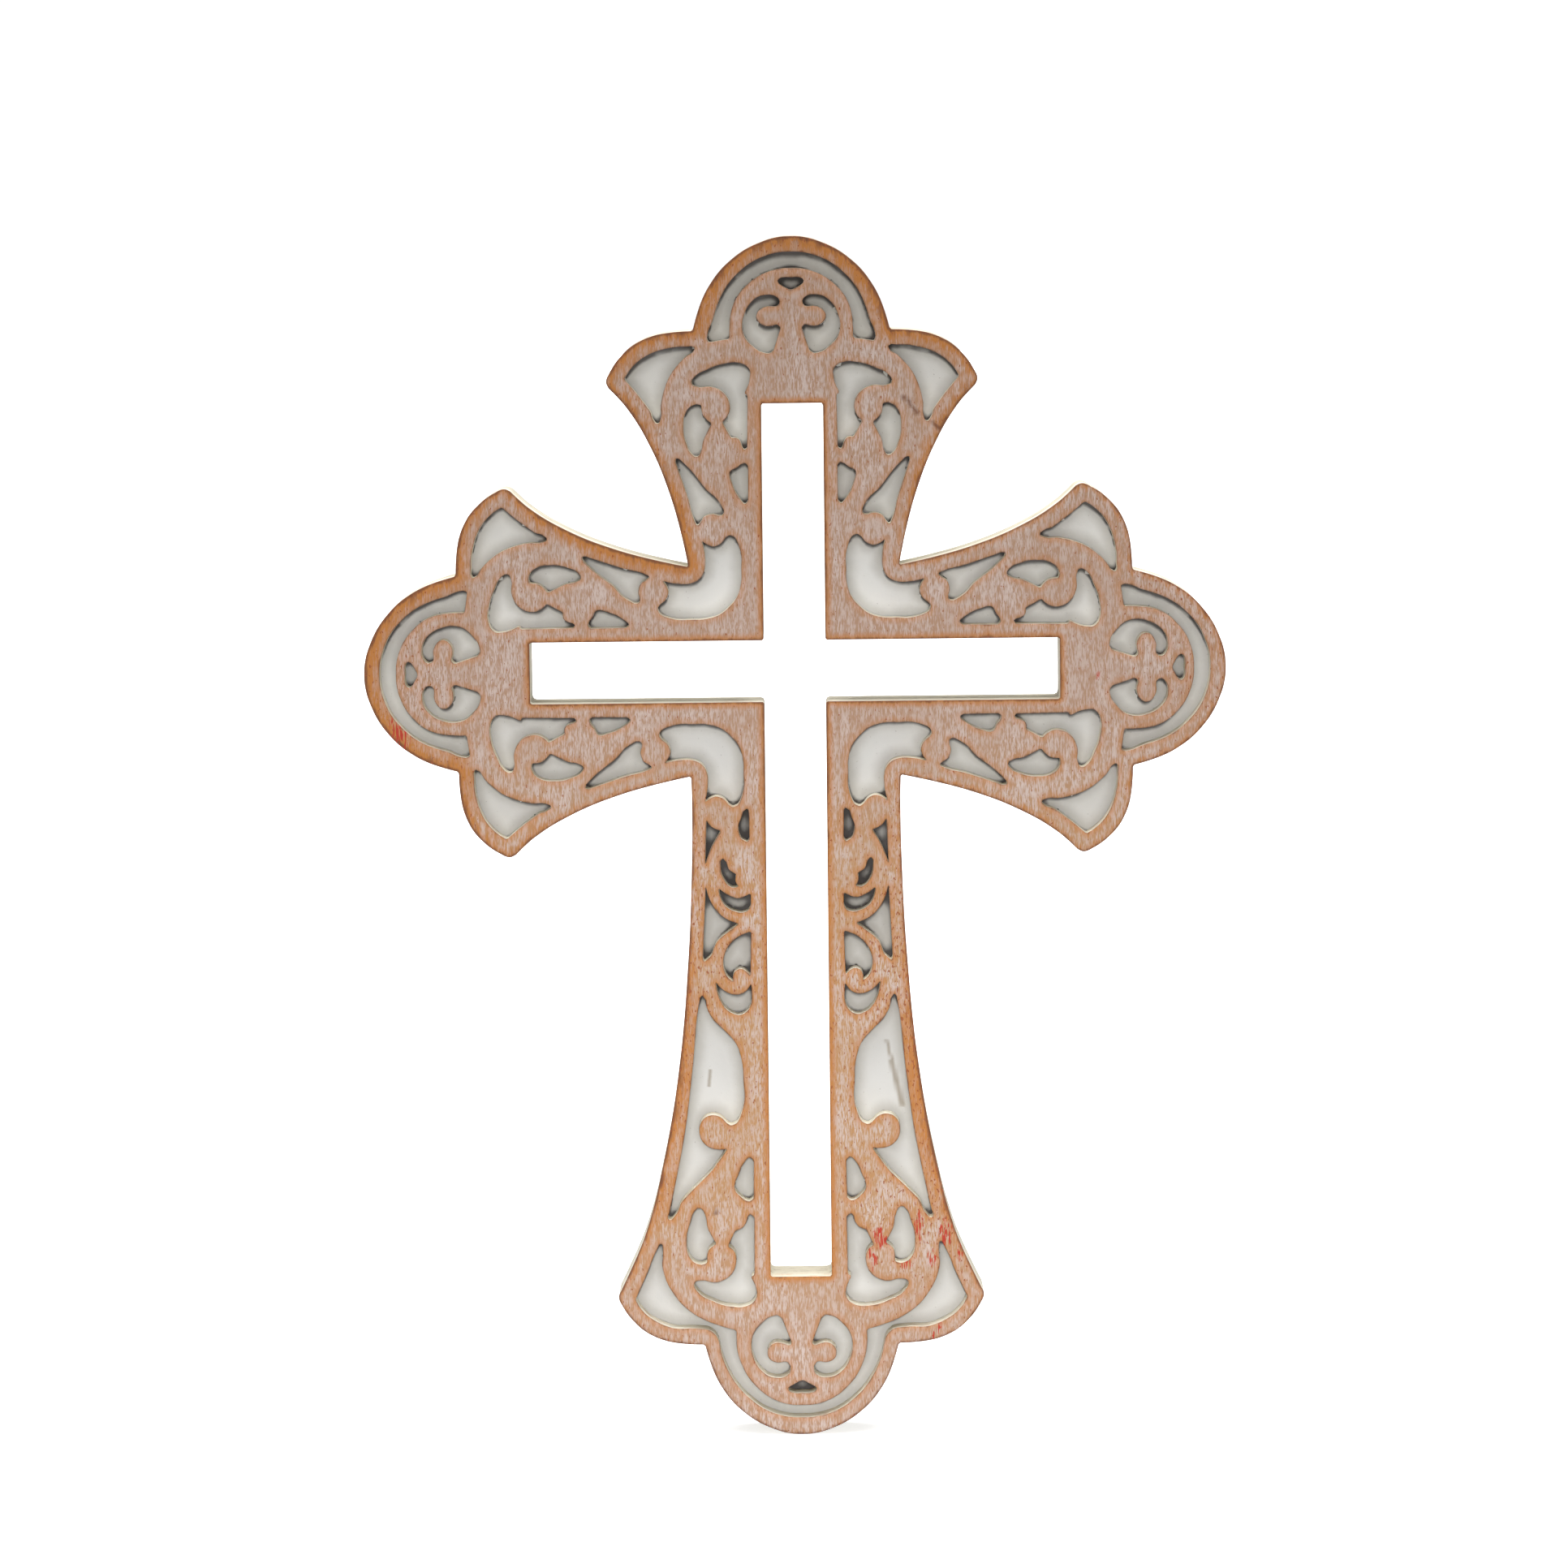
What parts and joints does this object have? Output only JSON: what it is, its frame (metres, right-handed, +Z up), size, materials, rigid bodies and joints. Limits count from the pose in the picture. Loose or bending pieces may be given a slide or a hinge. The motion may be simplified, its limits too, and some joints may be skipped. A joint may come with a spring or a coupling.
{
  "type": "wall cross",
  "caption": "Wooden wall cross with flared, lobed arms: a scrollwork fretwork panel on a plain painted back board, with a cross-shaped opening.",
  "frame": {"origin": "hanging point on the flat back, on the upright's centre line, 110 mm above the crossing's centre", "axes": "+Z up the upright, towards the crown of the top arm; +Y into the wall; the decorated front faces -Y and +X is to its right"},
  "size_m": [0.2848, 0.02, 0.4],
  "materials": {
    "stained_wood": "stained and thinly whitewashed, burnt brown at the edges",
    "painted_wood": "matt off-white paint, shaded grey in the recesses"
  },
  "bodies": {
    "root": {"fretwork_panel": "stained_wood", "back_board": "painted_wood"}
  },
  "joints": []
}
